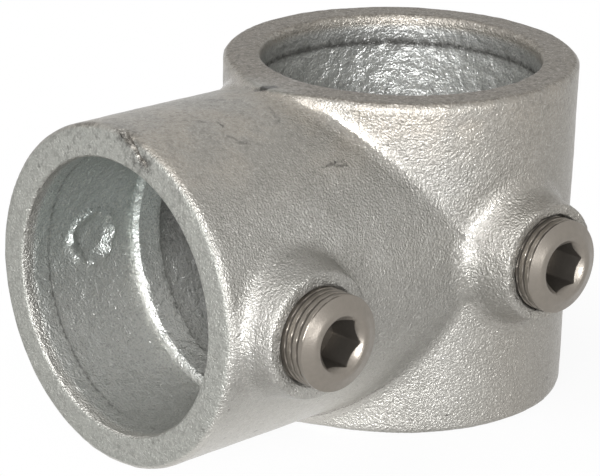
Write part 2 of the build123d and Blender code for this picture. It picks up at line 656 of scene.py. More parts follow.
@dataclass
class Boss:
    """One drafted boss along +X and its screw hole. It starts at a root inside the wall."""

    across: float
    up: float
    face: float
    face_radius: float
    draft: float = 14.0
    blend: float = 3.5
    # Painted shade in the gap round the screw: the width and darkness of its ring.
    dirt: float = 0.24
    dirt_darkness: float = 0.95
    face_round: float = 0.7
    hole_radius: float = 8.38
    hole_chamfer: float = 0.5
    root: float = 12.0

    def radial(self, points: Field) -> Field:
        """Distance from the boss's axis."""
        return hypot(points[1] - self.across, points[2] - self.up)

    def outside(self, points: Field) -> Field:
        """Cone that widens inwards from the face, with the face's edge rounded.

        Args:
            points: 3 rows of coordinates.

        Returns:
            Signed distances, negative inside.
        """
        slant = math.radians(self.draft)
        wide = self.face_radius + (self.face - points[0]) * math.tan(slant)
        side = (self.radial(points) - wide) * math.cos(slant)
        body = rounded(side, points[0] - self.face, math.sin(slant), self.face_round)
        return np.maximum(body, self.root - points[0])

    def lean(self, points: Field, facing: Field) -> Field:
        """Cosine between the boss's side and another surface: the product of their normals.

        Args:
            points: 3 rows of coordinates.
            facing: 3 rows of the other surface's normals.

        Returns:
            The cosines.
        """
        slant, away = math.radians(self.draft), self.radial(points)
        side = facing[1] * (points[1] - self.across) + facing[2] * (points[2] - self.up)
        return math.sin(slant) * facing[0] + math.cos(slant) * side / away

    def hole(self, points: Field) -> Field:
        """The hole: a cylinder that a chamfer widens at the face.

        Args:
            points: 3 rows of coordinates.

        Returns:
            Signed distances, negative in the hole.
        """
        away = self.radial(points)
        wide = self.hole_radius + self.hole_chamfer + points[0] - self.face
        void = np.minimum(away - self.hole_radius, (away - wide) * math.sqrt(0.5))
        return np.maximum(void, self.root - points[0])

    def shade_ring(self) -> ShadeRing:
        """Painted shade in the gap round the screw at the boss's face."""
        centre = (self.face, self.across, self.up)
        return ShadeRing((1, 0, 0), centre, self.hole_radius, self.dirt, self.dirt_darkness)

    def calm(self, points: Field, near: float = 0.4, far: float = 2.0) -> Field:
        """0 beside the screw's hole, where the casting is machined, and 1 away from it.

        Args:
            points: 3 rows of coordinates.
            near: distance from the hole's wall that is still plain.
            far: distance at which the relief is full.

        Returns:
            The shares of relief.
        """
        beside = np.where(points[0] > 0, self.radial(points) - self.hole_radius, far)
        return smooth(beside, near, far)


@dataclass
class DrillSpot:
    """Where the drill met the socket's far wall: a raised ring about a shallow dimple."""

    across: float
    up: float
    ring_radius: float = 4.7
    ring_width: float = 0.8
    ring_height: float = 0.65
    dimple_radius: float = 3.5
    dimple_depth: float = 0.4
    ragged: Lumps = Lumps(0.45, 3.0, 7)

    def height(self, points: Field) -> Field:
        """Height above the wall: a lumpy bell-shaped ridge less a soft-edged dimple inside it.

        Args:
            points: 3 rows of coordinates.

        Returns:
            The heights, 0 on the side of the screws.
        """
        away = hypot(points[1] - self.across, points[2] - self.up)
        ridge = self.ring_height * np.exp(-(((away - self.ring_radius) / self.ring_width) ** 2))
        ridge = ridge * (1 + self.ragged.at(points))
        dimple = self.dimple_depth * smooth(away, self.dimple_radius, self.dimple_radius - self.ring_width)
        return np.where(points[0] < 0, ridge - dimple, 0.0)


@dataclass
class Casting:
    """The tee's casting: two crossing tubes with lands, a stop ring, bosses and rounded rims."""

    rim_level: float
    reach: float
    bosses: list[Boss]
    spot: DrillSpot
    sleeve_radius: float = 31.5
    sleeve_draft: float = 1.1
    sleeve_land_radius: float = 25.4
    sleeve_core_radius: float = 26.1
    sleeve_land: float = 5.2
    mouth_radius: float = 30.25
    socket_draft: float = 0.64
    socket_land_radius: float = 24.4
    socket_core_radius: float = 25.0
    socket_land: float = 5.8
    socket_end: float = 4.0
    stop_radius: float = 23.4
    stop_front: float = 42.7
    stop_width: float = 5.8
    stop_slope: float = 0.8
    stop_round: float = 0.35
    junction_blend: float = 4.0
    rim_round: float = 1.3
    mouth_round: float = 1.3
    inner_round: float = 1.0
    mouth_inner_round: float = 0.65
    crossing_round: float = 0.8
    flaw: tuple[Place, ...] = (
        (2.3, -66.9, 30.0),
        (4.3, -67.6, 28.9),
        (6.0, -67.7, 27.9),
        (7.2, -67.7, 26.6),
        (8.7, -67.8, 25.9),
    )
    flaw_radius: float = 0.70
    flaw_stain: Span = (2.7, 0.8)
    outer_relief: tuple[Lumps, ...] = (Lumps(0.045, 11.0, 1), Lumps(0.022, 3.4, 2))
    inner_relief: tuple[Lumps, ...] = (Lumps(0.055, 7.0, 3), Lumps(0.040, 2.6, 4))
    inner_relief_depth: Span = (-1.0, -2.5)
    inner_finish_depth: Span = (-1.5, -3.0)
    rim_fade: Span = (0.3, 0.05)
    neck_fade: float = 1.0
    neck_margin: float = 0.5
    neck_off_sleeve: Span = (0.1, 1.0)
    cell: float = 0.74
    margin: float = 2.0
    crisp: float = 40.0
    probe: float = 0.02

    def tubes(self, points: Field) -> tuple[Field, Field]:
        """Distances to the sleeve's and the socket's sides, each a slightly drafted cone.

        Args:
            points: 3 rows of coordinates.

        Returns:
            Signed distances to the sleeve and to the socket, negative inside.
        """
        x, y, z = points
        sleeve = hypot(x, y) - (self.sleeve_radius + z * math.tan(math.radians(self.sleeve_draft)))
        narrower = (y + self.reach) * math.tan(math.radians(self.socket_draft))
        socket = hypot(x, z) - (self.mouth_radius - narrower)
        return sleeve, np.maximum(socket, y + self.socket_end)

    def junction(self, points: Field) -> Field:
        """The two tubes joined by a fillet."""
        lean = points[0] ** 2 / (hypot(points[0], points[1]) * hypot(points[0], points[2]))
        return fillet(*self.tubes(points), lean, self.junction_blend)

    def body(self, points: Field) -> Field:
        """Outside before its rims are trimmed: the two tubes and the bosses, joined by fillets.

        Args:
            points: 3 rows of coordinates.

        Returns:
            Signed distances, negative inside.
        """
        x, y, z = points
        sleeve, socket = self.tubes(points)
        sleeve_away, socket_away = hypot(x, y), hypot(x, z)
        body = self.junction(points)
        on_sleeve = sleeve < socket
        facing = np.stack(
            [
                np.where(on_sleeve, x / sleeve_away, x / socket_away),
                np.where(on_sleeve, y / sleeve_away, 0),
                np.where(on_sleeve, 0, z / socket_away),
            ]
        )
        for boss in self.bosses:
            body = fillet(body, boss.outside(points), boss.lean(points, facing), boss.blend)
        return body

    def blend(self, points: Field, shallow: float = 0.1, deep: float = 0.7, at_boss: float = 0.5) -> Field:
        """How far a point lies in a fillet: a smooth step of the depth of metal that the fillets add there.

        Args:
            points: 3 rows of coordinates.
            shallow: depth that counts nothing.
            deep: depth that counts in full.
            at_boss: how much the bosses' fillets count.

        Returns:
            The shares.
        """
        joined = self.junction(points)
        plain = np.minimum.reduce([joined, *(boss.outside(points) for boss in self.bosses)])
        between_tubes = smooth(np.minimum(*self.tubes(points)) - joined, shallow, deep)
        return np.maximum(between_tubes, at_boss * smooth(plain - self.body(points), shallow, deep))

    def tilt(self, points: Field, axis: int) -> Field:
        """How far the body's side faces along an axis, by central differences.

        Args:
            points: 3 rows of coordinates.
            axis: number of the axis.

        Returns:
            The normals' components.
        """
        shift = np.zeros((3, 1))
        shift[axis] = self.probe
        return (self.body(points + shift) - self.body(points - shift)) / (2 * self.probe)

    def outside(self, points: Field) -> Field:
        """Outside with its two sleeve rims and the socket's mouth trimmed and rounded.

        Args:
            points: 3 rows of coordinates.

        Returns:
            Signed distances, negative inside.
        """
        body, level = self.body(points), points[2]
        lean = self.tilt(points, 2) * np.sign(level)
        trimmed = rounded(body, np.abs(level) - self.rim_level, lean, self.rim_round)
        return rounded(trimmed, -points[1] - self.reach, -self.tilt(points, 1), self.mouth_round)

    def sleeve_wall(self, points: Field) -> Field:
        """Metal outside the sleeve's hollow: bearing lands at the rims, a cored wall between them.

        Args:
            points: 3 rows of coordinates.

        Returns:
            Signed distances, negative in the metal.
        """
        away = hypot(points[0], points[1])
        past_land = np.abs(points[2]) - (self.rim_level - self.sleeve_land)
        core = np.maximum(away - self.sleeve_core_radius, past_land)
        return -np.minimum(away - self.sleeve_land_radius, core)

    def socket_wall(self, points: Field) -> Field:
        """Metal outside the socket's hollow: the mouth's land, a cored wall and the stop ring.

        The ring is square in section, and a plane at 45 degrees slopes its front.

        Args:
            points: 3 rows of coordinates.

        Returns:
            Signed distances, negative in the metal.
        """
        x, y, z = points
        away = hypot(x, z)
        half = self.stop_width / 2
        in_ring = np.abs(y + self.stop_front - half) - half
        ring = rounded(self.stop_radius - away, in_ring, 0.0, self.stop_round)
        slope = (self.stop_slope - self.stop_front - y - away + self.stop_radius) * math.sqrt(0.5)
        ring = rounded(ring, slope, math.sqrt(0.5), self.stop_round)
        land = np.maximum(self.socket_land_radius - away, y + self.reach - self.socket_land)
        core = self.socket_core_radius - self.spot.height(points) - away
        wall = np.minimum(np.minimum(core, land), ring)
        return np.minimum(wall, -y)

    def hollow(self, points: Field) -> Field:
        """Metal outside both hollows, with the edge where they cross softened.

        Args:
            points: 3 rows of coordinates.

        Returns:
            Signed distances, negative in the metal.
        """
        x, y, z = points
        lean = x * x / (hypot(x, y) * hypot(x, z))
        return rounded(self.sleeve_wall(points), self.socket_wall(points), lean, self.crossing_round)

    def shape(self, points: Field) -> Field:
        """The casting, with the flaw across the mouth's rim scooped out of it.

        Args:
            points: 3 rows of coordinates.

        Returns:
            Signed distances, negative inside.
        """
        at_mouth = points[1] < self.socket_land - self.reach
        round_off = np.where(at_mouth, self.mouth_inner_round, self.inner_round)
        shape = rounded(self.outside(points), self.hollow(points), 0.0, round_off)
        for boss in self.bosses:
            shape = np.maximum(shape, -boss.hole(points))
        return np.maximum(shape, self.flaw_radius - along_path(points, self.flaw))

    def relief(self, points: Field) -> Field:
        """Height of the cast surface's lumps: soft on the outside, rougher inside, none at the holes.

        Args:
            points: 3 rows of coordinates.

        Returns:
            The heights.
        """
        inner = smooth(self.outside(points), *self.inner_relief_depth)
        outer_lumps = sum(lumps.at(points) for lumps in self.outer_relief)
        inner_lumps = sum(lumps.at(points) for lumps in self.inner_relief)
        height = outer_lumps + (inner_lumps - outer_lumps) * inner
        for boss in self.bosses:
            height = height * boss.calm(points)
        return height

    def rim(self, points: Field) -> Field:
        """1 on the rims' flat faces, fading to 0 a little way down from them.

        Args:
            points: 3 rows of coordinates.

        Returns:
            The shares.
        """
        far, near = self.rim_fade
        on_sleeve = smooth(np.abs(points[2]), self.rim_level - far, self.rim_level - near)
        at_mouth = smooth(-points[1], self.reach - far, self.reach - near)
        return np.maximum(on_sleeve, at_mouth)

    def neck(self, points: Field, inside: Field) -> Field:
        """1 in the passage behind the stop ring, where little light comes, and 0 elsewhere.

        Args:
            points: 3 rows of coordinates.
            inside: how far inside the casting's hollows each point lies.

        Returns:
            The shares.
        """
        back = self.stop_width - self.stop_front
        behind_ring = smooth(points[1], back - self.neck_fade, back + self.neck_fade)
        in_socket = hypot(points[0], points[2]) < self.socket_core_radius + self.neck_margin
        from_sleeve = hypot(points[0], points[1]) - self.sleeve_core_radius
        return behind_ring * in_socket * smooth(from_sleeve, *self.neck_off_sleeve) * inside * (points[1] < 0)

    def shade_rings(self) -> tuple[ShadeRing, ...]:
        """Where painted shade lies: dark rings under the sleeve's and the socket's lands, where their ledges
        overhang, and round the two screws.

        Returns:
            The shade rings.
        """
        level, back = self.rim_level - self.sleeve_land, self.socket_land - self.reach
        sleeve, socket = self.sleeve_core_radius, self.socket_core_radius
        # Painted shade under the ledges where the lands meet the cored walls, uneven in patches.
        lands = (
            ShadeRing((0, 0, 1), (0, 0, -level), sleeve, width=1.10, darkness=0.66, uneven=True),
            ShadeRing((0, 0, 1), (0, 0, level), sleeve, width=1.10, darkness=0.66, uneven=True),
            ShadeRing((0, 1, 0), (0, back, 0), socket, width=0.75, darkness=0.50, uneven=True),
        )
        return (*lands, *(boss.shade_ring() for boss in self.bosses))

    def build(self) -> bpy.types.Object:
        """Wrap the casting, lay its relief on it and store what its finish reads.

        Returns:
            The skin.
        """
        side, margin = self.sleeve_radius, self.margin
        face = max(boss.face for boss in self.bosses)
        low = (-side - margin, -self.reach - margin, -self.rim_level - margin)
        high = (face + margin, side + margin, self.rim_level + margin)
        wrapper = Wrapper(low, high, self.cell)
        clean, quads = wrapper.wrap(self.shape)
        lumpy = clean + wrapper.slope(self.shape, clean) * self.relief(clean)
        piece = make_piece("casting_skin", lumpy, [quads], self.crisp)
        inside = smooth(self.outside(clean), *self.inner_finish_depth)
        store(piece, "inside", inside)
        store(piece, "rim", self.rim(clean))
        store(piece, "blend", self.blend(clean))
        store(piece, "flaw", smooth(along_path(clean, self.flaw), *self.flaw_stain))
        store(piece, "neck", self.neck(clean, inside))
        return piece


# ---------------------------------------------------------------- the set screws


class Row(IntEnum):
    """What a row of a set screw's surface runs round."""

    PLAIN = 0
    THREAD = 1
    KEY = 2


@dataclass
class SetScrew:
    """Hexagon-socket set screw along +X with a rounded 55 degree thread and a cup point.

    Its surface is one sheet wound about the axis: each row is a station of the outline from the middle of
    the cup, over the thread and the end face, down the hexagon to the socket's floor.
    """

    name: str
    point: float
    end: float
    across: float
    up: float
    key_angle: float
    thread_phase: float
    radius: float
    pitch: float = 1.337
    thread_depth: float = 0.70
    crest_share: float = 0.60
    groove_fullness: float = 0.8
    run_out: float = 0.3
    end_chamfer_radial: float = 2.35
    end_chamfer_axial: float = 1.0
    point_chamfer: float = 1.0
    cup_rim: float = 1.6
    cup_depth: float = 2.0
    key_width: float = 8.0
    key_depth: float = 7.0
    key_lead_in: float = 0.45
    # Painted shade in the key socket: its share, the depth at which it is full, and its share at the floor's
    # middle.
    key_shade: float = 0.52
    key_shade_depth: float = 1.2
    floor_shade: float = 0.45
    corner_radius: float = 4.55
    edge_round: float = 0.12
    columns: int = 180
    thread_step: float = 0.075
    face_rows: int = 5
    lead_in_rows: int = 12
    lead_in_depth: float = 1.4
    wall_depths: Span = (2.4, 6.7)
    crisp: float = 32.0

    @property
    def length(self) -> float:
        """Length of the screw."""
        return self.end - self.point

    def thread(self, turn: Field, along: Field) -> tuple[Field, Field]:
        """Radius of the thread and how deep in its groove a point is.

        The height within one pitch is the fractional part of the distance along less the turn's share. The
        crest is flat for a share of the pitch and a raised cosine makes the rounded groove between crests.

        Args:
            turn: angles about the axis, in radians.
            along: distances from the point.

        Returns:
            The radii, and depths in the groove from 0 to 1.
        """
        share = (along / self.pitch - turn / (2 * np.pi) + self.thread_phase) % 1.0
        groove = np.clip((share - self.crest_share) / (1 - self.crest_share), 0, 1)
        deep = (0.5 - 0.5 * np.cos(2 * np.pi * groove)) ** self.groove_fullness
        deep = deep * smooth(self.length - self.end_chamfer_axial - along, 0.0, self.run_out)
        return self.radius - self.thread_depth * deep, deep

    def hexagon(self, turn: Field) -> Field:
        """The key socket's wall: six flats, each half the width over the cosine of the angle from its middle.

        Args:
            turn: angles about the axis, in radians.

        Returns:
            The radii, kept under the rounded corners' radius.
        """
        sixth = np.pi / 3
        flat = (turn - math.radians(self.key_angle)) % sixth - sixth / 2
        return np.minimum(self.key_width / 2 / np.cos(flat), self.corner_radius)

    def rows(self) -> tuple[Field, Field, Field]:
        """Stations of the outline, from the cup's middle to the middle of the key socket's floor.

        Returns:
            For each row its distance from the point, its radius where it is plain, and its kind.
        """
        soft, deep = self.edge_round, self.cup_depth
        tip = self.radius - self.point_chamfer
        cup = tip - self.cup_rim
        hollow = [(deep, 0.0), (deep / 2, cup / 2), (soft, cup - soft)]
        start = np.array([*hollow, (0.0, cup + soft), (0.0, tip - soft)])
        thread = np.arange(soft, self.length - soft, self.thread_step)
        corner = self.key_width / math.sqrt(3) + self.key_lead_in
        face = np.linspace(self.radius - self.end_chamfer_radial - soft, corner + soft, self.face_rows)
        lead_in = np.linspace(soft, self.lead_in_depth, self.lead_in_rows)
        depths = np.array([*lead_in, *self.wall_depths, self.key_depth])
        along = np.concatenate([start[:, 0], thread, np.full(len(face), self.length), self.length - depths])
        radii = np.concatenate([start[:, 1], np.full(len(thread), self.radius), face, corner - depths])
        kinds = [Row.PLAIN, Row.THREAD, Row.PLAIN, Row.KEY]
        return along, radii, np.repeat(kinds, [len(start), len(thread), len(face), len(depths)])

    def surface(self, turn: Field) -> tuple[Field, Field, Field]:
        """Work out the sheet on the grid of rows and columns.

        A thread row is held under the cones of the point's and the end's chamfers. A key row is the larger
        of the hexagon and the lead-in's cone.

        Args:
            turn: one row of angles about the axis, in radians.

        Returns:
            Radius, distance from the point and painted shade: the depth in the thread's groove, and in the
            key socket a share that grows with depth.
        """
        along, radii, kinds = (part[:, None] for part in self.rows())
        thread, deep = self.thread(turn, along)
        point_cone = self.radius - self.point_chamfer + along
        slope = self.end_chamfer_radial / self.end_chamfer_axial
        end_cone = self.radius - self.end_chamfer_radial + (self.length - along) * slope
        thread = np.minimum(thread, np.minimum(point_cone, end_cone))
        socket = np.maximum(self.hexagon(turn), radii)
        radius = np.where(kinds == Row.THREAD, thread, np.where(kinds == Row.KEY, socket, radii))
        # Painted shade down the key socket.
        soot_and_shade = self.key_shade * smooth(self.length - along, 0.0, self.key_shade_depth)
        groove = np.where(kinds == Row.THREAD, deep, np.where(kinds == Row.KEY, soot_and_shade, 0.0))
        return radius, np.broadcast_to(along, radius.shape), groove

    def build(self) -> bpy.types.Object:
        """Wind the sheet about the axis, close its two poles and store how much painted shade each point
        gets.

        Returns:
            The screw.
        """
        turn = np.linspace(0, 2 * np.pi, self.columns, endpoint=False)[None, :]
        radius, along, groove = self.surface(turn)
        across, up = self.across + radius * np.cos(turn), self.up + radius * np.sin(turn)
        sheet = np.stack([part[1:].ravel() for part in (self.point + along, across, up)])
        poles = np.array([(self.point + along[row, 0], self.across, self.up) for row in (0, -1)])
        number = np.arange(sheet.shape[1]).reshape(-1, self.columns)
        ahead = np.roll(number, -1, axis=1)
        quads = np.stack([number[1:], ahead[1:], ahead[:-1], number[:-1]], axis=-1).reshape(-1, 4)
        first = np.full(self.columns, number.size)
        front = np.stack([ahead[0], number[0], first], axis=1)
        back = np.stack([number[-1], ahead[-1], first + 1], axis=1)
        points = np.concatenate([sheet, poles.T], axis=1)
        piece = make_piece(self.name, points, [quads, front, back], self.crisp)
        store(piece, "groove", np.concatenate([groove[1:].ravel(), [0.0, self.floor_shade]]))
        return piece


# ---------------------------------------------------------------- finishes


@dataclass(frozen=True)
class Mark:
    """A scratch, pit or stain on the zinc: a straight stroke with a ragged edge."""

    start: Place
    end: Place
    width: float
    darkness: float
    core: float = 0.3

    def share(self, graph: Graph, ragged: Value) -> Value:
        """How dark it is: full in its core and none beyond its width."""
        away = graph.stroke(ragged, self.start, self.end)
        return away.step(self.width * MM, self.width * MM * self.core) * self.darkness


MARKS = (
    # scratches on the socket's top
    Mark((20.3, -40.5, 22.0), (20.0, -37.2, 22.2), 0.35, 0.40),
    Mark((20.0, -36.8, 22.2), (20.0, -35.2, 22.2), 0.65, 0.60),
    Mark((20.4, -34.6, 21.7), (20.6, -32.9, 21.6), 0.60, 0.60),
    Mark((20.0, -35.0, 22.3), (19.9, -32.5, 22.3), 0.30, 0.45),
    Mark((6.5, -49.9, 29.3), (8.6, -49.9, 28.8), 0.35, 0.55),
    Mark((4.9, -53.3, 29.7), (5.8, -51.9, 29.5), 0.65, 0.32),
    Mark((10.7, -51.1, 28.1), (13.2, -49.5, 27.0), 0.50, 0.45),
    Mark((-2.4, -44.1, 29.9), (-0.7, -42.2, 30.0), 0.95, 0.30),
    Mark((5.8, -37.6, 29.3), (10.4, -39.2, 28.1), 0.45, 0.40),
    # stain along the mouth's outer edge
    Mark((-5.5, -67.0, 29.7), (-10.2, -67.0, 28.5), 0.80, 0.45),
    # smear where the socket meets the sleeve's rim
    Mark((-0.4, -34.3, 30.3), (0.4, -33.4, 30.6), 1.00, 0.65),
    Mark((0.4, -33.4, 30.6), (0.8, -32.1, 30.7), 1.30, 0.90),
    # hairline and pits on the sleeve
    Mark((22.9, -22.4, 29.4), (22.9, -22.4, 24.9), 0.30, 0.30),
    Mark((24.3, -19.2, -27.8), (24.3, -19.1, -27.8), 0.36, 0.75),
    Mark((27.8, -13.6, -27.4), (27.8, -13.5, -27.4), 0.36, 0.75),
    Mark((25.8, -17.1, -28.3), (25.5, -16.8, -30.2), 0.18, 0.70),
    Mark((28.6, 14.1, 20.9), (28.6, 14.4, 20.7), 0.35, 0.60),
)


@dataclass(frozen=True)
class SkinReadings:
    """What is read at a point of the skin: its place, the numbers stored on it, noises and levels."""

    place: Value
    inside: Value
    rim: Value
    neck: Value
    flaw: Value
    blend: Value
    cloud: Value
    grain: Value
    mottle: Value
    level: Value
    forward: Value
    high: Value
    on_sleeve: Value
    land: Value


@dataclass(frozen=True)
class GalvanisedZinc:
    """Hot-dip zinc on a sand casting: pale metal with an orange-peel grain, specks and dull patches, with
    painted light and shade laid on its colour.

    Sizes of noises, depths of relief and spans of place are metres. The spans top, underside, hollow_level,
    neck_level and land_level run along Z, and behind_ring, past_junction and sleeve_front along Y; each gives
    where its step starts and where it is full. The spans from dull_to_pale to speck_patches do so on a
    noise. A span of shares or of painted shade gives the share where a step is 0 and where it is 1.
    """

    # Rings of painted shade under the lands and round the screws.
    shade_rings: tuple[ShadeRing, ...]
    name: str = "galvanised_zinc"
    marks: tuple[Mark, ...] = MARKS
    pale: Colour = (0.296, 0.287, 0.264)
    dull: Colour = (0.244, 0.236, 0.214)
    # Painted light: this colour lightens the lower outside and the grain's tops.
    painted_light: Colour = (0.500, 0.484, 0.444)
    warm: Colour = (0.260, 0.238, 0.205)
    hollow: Colour = (0.300, 0.326, 0.306)
    # Painted light: a lighter colour towards the hollows' floors and for the sleeve's hollow, which is open
    # to the light from above.
    painted_lit_hollow_floor: Colour = (0.437, 0.438, 0.412)
    painted_lit_sleeve_hollow: Colour = (0.428, 0.432, 0.412)
    face: Colour = (0.290, 0.292, 0.266)
    rim_brown: Colour = (0.186, 0.168, 0.142)
    top_brown: Colour = (0.310, 0.283, 0.242)
    # Colour of the soot and of all painted shade.
    soot_and_shade: Colour = (0.035, 0.032, 0.028)
    metallic: float = 0.75
    roughness: float = 0.33
    patch_roughness: float = 0.30
    rim_roughness: float = 0.15
    blend_polish: float = 0.13
    cloud_size: float = 0.010
    mottle_size: float = 0.0011
    grain_size: float = 0.00040
    grain_depth: float = 0.00032
    peel_size: float = 0.0011
    peel_depth: float = 0.00013
    pebble_size: float = 0.0024
    pebble_depth: float = 0.00045
    ragged_size: float = 0.0009
    ragged_shift: float = 0.0008
    speck_spacing: float = 0.0042
    speck_size: Span = (0.16, 0.08)
    dull_to_pale: Span = (0.35, 0.65)
    brown_clouds: Span = (0.40, 0.60)
    grain_tops: Span = (0.52, 0.68)
    grain_dips: Span = (0.47, 0.32)
    soot_patches: Span = (0.47, 0.64)
    flaw_patches: Span = (0.34, 0.62)
    shade_ring_patches: Span = (0.38, 0.52)
    speck_patches: Span = (0.50, 0.60)
    top: Span = (0.016, 0.0295)
    underside: Span = (-0.004, -0.024)
    hollow_level: Span = (0.008, -0.014)
    neck_level: Span = (-0.012, 0.006)
    land_level: Span = (0.022, 0.026)
    behind_ring: Span = (-0.036, -0.030)
    past_junction: Span = (-0.032, -0.020)
    sleeve_front: Span = (-0.016, 0.002)
    brown_share: Span = (0.30, 0.85)
    underlight_share: Span = (0.95, 0.13)
    warm_share: float = 0.6
    painted_sparkle_share: Span = (0.38, 0.58)
    dip_share: Span = (0.13, 0.25)
    # Painted shade behind the stop ring: its share at the passage's bottom and at its top.
    neck_shade: Span = (0.25, 0.70)
    shade_ring_share: Span = (0.7, 1.0)
    patch_soot: float = 0.08
    top_patch_soot: float = 0.17
    rim_patch_soot: float = 0.12
    land_soot: float = 0.32
    flaw_soot: float = 0.7
    speck_soot: float = 0.35

    def material(self) -> bpy.types.Material:
        """Build the material.

        Returns:
            The material.
        """
        made = bpy.data.materials.new(self.name)
        graph = Graph(made)
        skin = self.read(graph)
        inputs = {
            "Base Color": self.soiled(graph, skin, self.zinc(graph, skin)),
            "Metallic": self.metallic,
            "Roughness": self.dullness(skin),
            "Normal": self.normal(graph, skin),
        }
        graph.finish(graph.principled(inputs))
        return made

    def read(self, graph: Graph) -> SkinReadings:
        """Read the skin.

        Args:
            graph: the material's nodes.

        Returns:
            The readings.
        """
        place = graph.place()
        inside = graph.attribute("inside")
        level, forward = graph.part(place, "Z"), graph.part(place, "Y")
        return SkinReadings(
            place=place,
            inside=inside,
            rim=graph.attribute("rim"),
            neck=graph.attribute("neck"),
            flaw=graph.attribute("flaw"),
            blend=graph.attribute("blend"),
            cloud=graph.noise(place, self.cloud_size, 4.0, 0.6),
            grain=graph.noise(place, self.grain_size, 2.0, 0.6),
            mottle=graph.noise(place, self.mottle_size, 4.0, 0.7),
            level=level,
            forward=forward,
            high=level.step(*self.top),
            on_sleeve=forward.step(*self.behind_ring),
            land=inside * level.step(*self.land_level),
        )

    def dullness(self, skin: SkinReadings) -> Value:
        """Roughness: patchy, greater on the rims and smaller in the fillets."""
        patchy = self.roughness + (skin.mottle - 0.5) * self.patch_roughness
        return patchy + skin.rim * self.rim_roughness - skin.blend * self.blend_polish

    def zinc(self, graph: Graph, skin: SkinReadings) -> Value:
        """The metal's colour: clouded, browner on top and cooler in the hollows, with painted light: lighter
        on the lower outside, towards the hollows' floors and all over the sleeve's open hollow.

        Args:
            graph: the material's nodes.
            skin: what is read.

        Returns:
            The colour.
        """
        brown = skin.high * skin.cloud.step(*self.brown_clouds).between(*self.brown_share)
        # Painted light from below: the lower outside is made lighter, most of all on the socket, as if lit by
        # the white table.
        past_junction = skin.forward.step(*self.past_junction)
        painted_underlight = skin.level.step(*self.underside) * past_junction.between(*self.underlight_share)
        colour = graph.ramp(skin.cloud, list(zip(self.dull_to_pale, (self.dull, self.pale))))
        colour = graph.blend(brown, colour, self.top_brown)
        colour = graph.blend(painted_underlight, colour, self.painted_light)
        colour = graph.blend(skin.forward.step(*self.sleeve_front) * self.warm_share, colour, self.warm)
        # Painted light in the hollows: lighter towards their floors, and lighter in the sleeve.
        hollow = graph.blend(skin.level.step(*self.hollow_level), self.hollow, self.painted_lit_hollow_floor)
        hollow = graph.blend(skin.on_sleeve, hollow, self.painted_lit_sleeve_hollow)
        face = graph.blend(skin.on_sleeve * skin.high, self.face, self.rim_brown)
        return graph.blend(skin.rim, graph.blend(skin.inside, colour, hollow), face)

    def soiled(self, graph: Graph, skin: SkinReadings, colour: Value) -> Value:
        """Paint a highlight on the grain's tops and shade in its dips, then lay soot in patches, on the upper
        lands, in the flaw, the marks and the specks, and paint shade in the rings under the lands and round
        the screws and in the neck behind the stop ring.

        Args:
            graph: the material's nodes.
            skin: what is read.
            colour: the clean metal's colour.

        Returns:
            The colour.
        """
        # Painted highlight: the grain's tops are lightened.
        painted_sparkle = skin.grain.step(*self.grain_tops) * skin.inside.between(*self.painted_sparkle_share)
        patchiness = self.patch_soot + self.top_patch_soot * skin.high + self.rim_patch_soot * skin.rim
        colour = graph.blend(painted_sparkle, colour, self.painted_light)
        soot_and_shade_shares = (
            # painted shade in the grain's dips
            skin.grain.step(*self.grain_dips) * skin.inside.between(*self.dip_share),
            skin.mottle.step(*self.soot_patches) * patchiness,
            skin.land * self.land_soot,
            # soot in the flaw, marks and specks, and painted shade in the rings
            self.darkness(graph, skin),
            # painted shade in the passage behind the stop ring, darker towards its top
            skin.neck * skin.level.step(*self.neck_level).between(*self.neck_shade),
        )
        for share in soot_and_shade_shares:
            colour = graph.blend(share, colour, self.soot_and_shade)
        return colour

    def darkness(self, graph: Graph, skin: SkinReadings) -> Value:
        """How dark the zinc is: soot in the flaw, in the marks and in scattered specks, and painted shade in
        the rings under the lands and round the screws.

        Args:
            graph: the material's nodes.
            skin: what is read.

        Returns:
            The sum of their shares, held between 0 and 1.
        """
        ragged = graph.wobble(skin.place, self.ragged_size, self.ragged_shift)
        patchy = skin.mottle.step(*self.shade_ring_patches).between(*self.shade_ring_share)
        specks = graph.cells(skin.place, self.speck_spacing).step(*self.speck_size)
        specks = specks * skin.mottle.step(*self.speck_patches) * self.speck_soot
        dark = skin.flaw * skin.mottle.step(*self.flaw_patches) * self.flaw_soot + specks
        for mark in self.marks:
            dark = dark + mark.share(graph, ragged)
        # Painted shade rings under the lands' ledges and round the screws.
        for shade_ring in self.shade_rings:
            dark = dark + shade_ring.share(graph, skin.place, patchy)
        return dark.clamped()

    def normal(self, graph: Graph, skin: SkinReadings) -> Value:
        """Relief: a soft orange peel, pebbles in the hollows and on the rims, and a fine grain over both.

        Args:
            graph: the material's nodes.
            skin: what is read.

        Returns:
            The normal.
        """
        peel = graph.noise(skin.place, self.peel_size, 2.0, 0.5, 0.6)
        pebble = graph.noise(skin.place, self.pebble_size, 2.0, 0.5, 0.4)
        pebbly = skin.inside * skin.on_sleeve.between(0.9, 1.4) - skin.land * 0.7 + skin.rim * 0.4
        grainy = (1 - 0.7 * skin.blend) * (1 - 0.35 * skin.inside) * (1 - 0.35 * skin.high)
        normal = graph.bump(peel * (1 - 0.6 * skin.blend), self.peel_depth)
        normal = graph.bump(pebble * pebbly, self.pebble_depth, normal)
        return graph.bump(skin.grain * grainy, self.grain_depth, normal)


